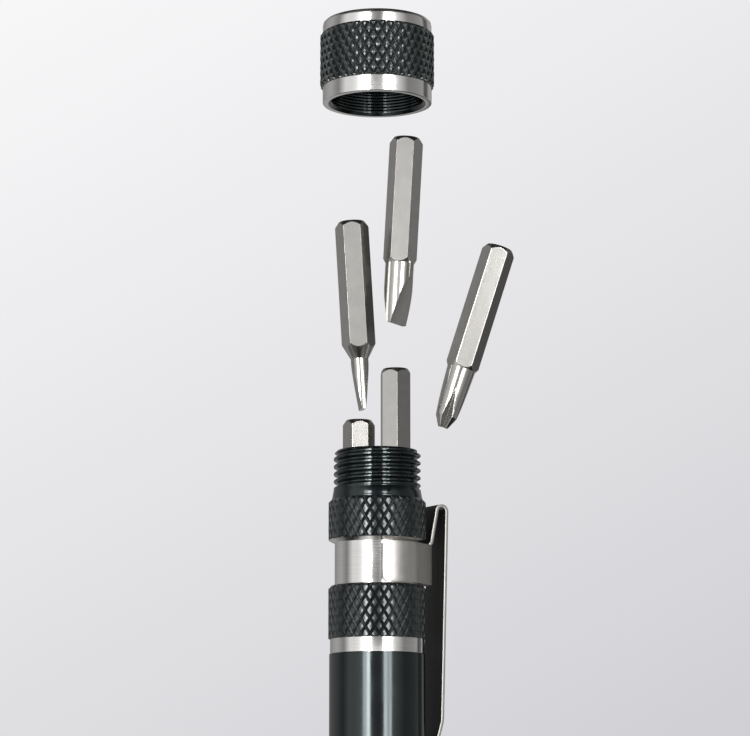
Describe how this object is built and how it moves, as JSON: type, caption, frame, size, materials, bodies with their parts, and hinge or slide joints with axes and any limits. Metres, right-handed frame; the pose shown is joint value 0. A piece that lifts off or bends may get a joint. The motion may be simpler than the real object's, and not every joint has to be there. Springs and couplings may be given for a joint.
{
  "type": "pocket screwdriver",
  "caption": "Pen-shaped pocket screwdriver with knurled black barrel, screw-on cap taken off, spring pocket clip and hexagonal bits kept in the barrel.",
  "frame": {"origin": "centre of the mouth of the bit socket in the nose", "axes": "+Z along the barrel from the nose towards the cap, -Y towards the viewer of the picture, +X to the right with the clip pointing 30 degrees behind it"},
  "size_m": [0.027, 0.029, 0.174],
  "materials": {
    "black_anodised_aluminium": "black anodised, knurled, with bright turned bands",
    "holder_steel": "turned steel",
    "magnet_nickel": "nickel plated",
    "spring_steel": "bright nickel-plated spring strip",
    "bit_steel": "drawn and ground tool steel, satin"
  },
  "bodies": {
    "barrel": {"barrel": "black_anodised_aluminium", "bit_holder": "holder_steel", "bit_magnet": "magnet_nickel", "clip_band": "spring_steel"},
    "cap": {"cap": "black_anodised_aluminium"},
    "clip_arm": {"clip_arm": "spring_steel"},
    "wide_slotted_bit": {"wide_slotted_bit": "bit_steel"},
    "fine_slotted_bit": {"fine_slotted_bit": "bit_steel"},
    "cross_bit": {"cross_bit": "bit_steel"},
    "standing_cross_bit": {"standing_cross_bit": "bit_steel"},
    "standing_slotted_bit": {"standing_slotted_bit": "bit_steel"}
  },
  "joints": [
    {"name": "cap_slide", "type": "slide", "parent": "barrel", "child": "cap", "axis": [0, 0, 1], "range_m": [-0.0582, 0]},
    {"name": "left_bit_slide", "type": "slide", "parent": "barrel", "child": "standing_cross_bit", "axis": [0, 0, 1], "range_m": [-0.0017, 0]},
    {"name": "right_bit_slide", "type": "slide", "parent": "barrel", "child": "standing_slotted_bit", "axis": [0, 0, 1], "range_m": [-0.0091, 0]},
    {"name": "clip_flex", "type": "hinge", "parent": "barrel", "child": "clip_arm", "pos_m": [0.00797, 0.0046, 0.10265], "axis": [0.5, -0.866, 0], "range_deg": [0, 5], "stiffness_Nm_per_rad": 0.02},
    {"name": "wide_bit_lift", "type": "slide", "parent": "barrel", "child": "wide_slotted_bit", "axis": [0.0558, 0, 0.9984], "range_m": [0, 0.02]},
    {"name": "fine_bit_lift", "type": "slide", "parent": "barrel", "child": "fine_slotted_bit", "axis": [-0.0593, 0, 0.9982], "range_m": [0, 0.02]},
    {"name": "cross_bit_lift", "type": "slide", "parent": "barrel", "child": "cross_bit", "axis": [0.3024, 0, 0.9532], "range_m": [0, 0.02]}
  ],
  "couplings": [
    {"joint": "left_bit_slide", "follows": "cap_slide", "ratio": 0.029},
    {"joint": "right_bit_slide", "follows": "cap_slide", "ratio": 0.156}
  ]
}
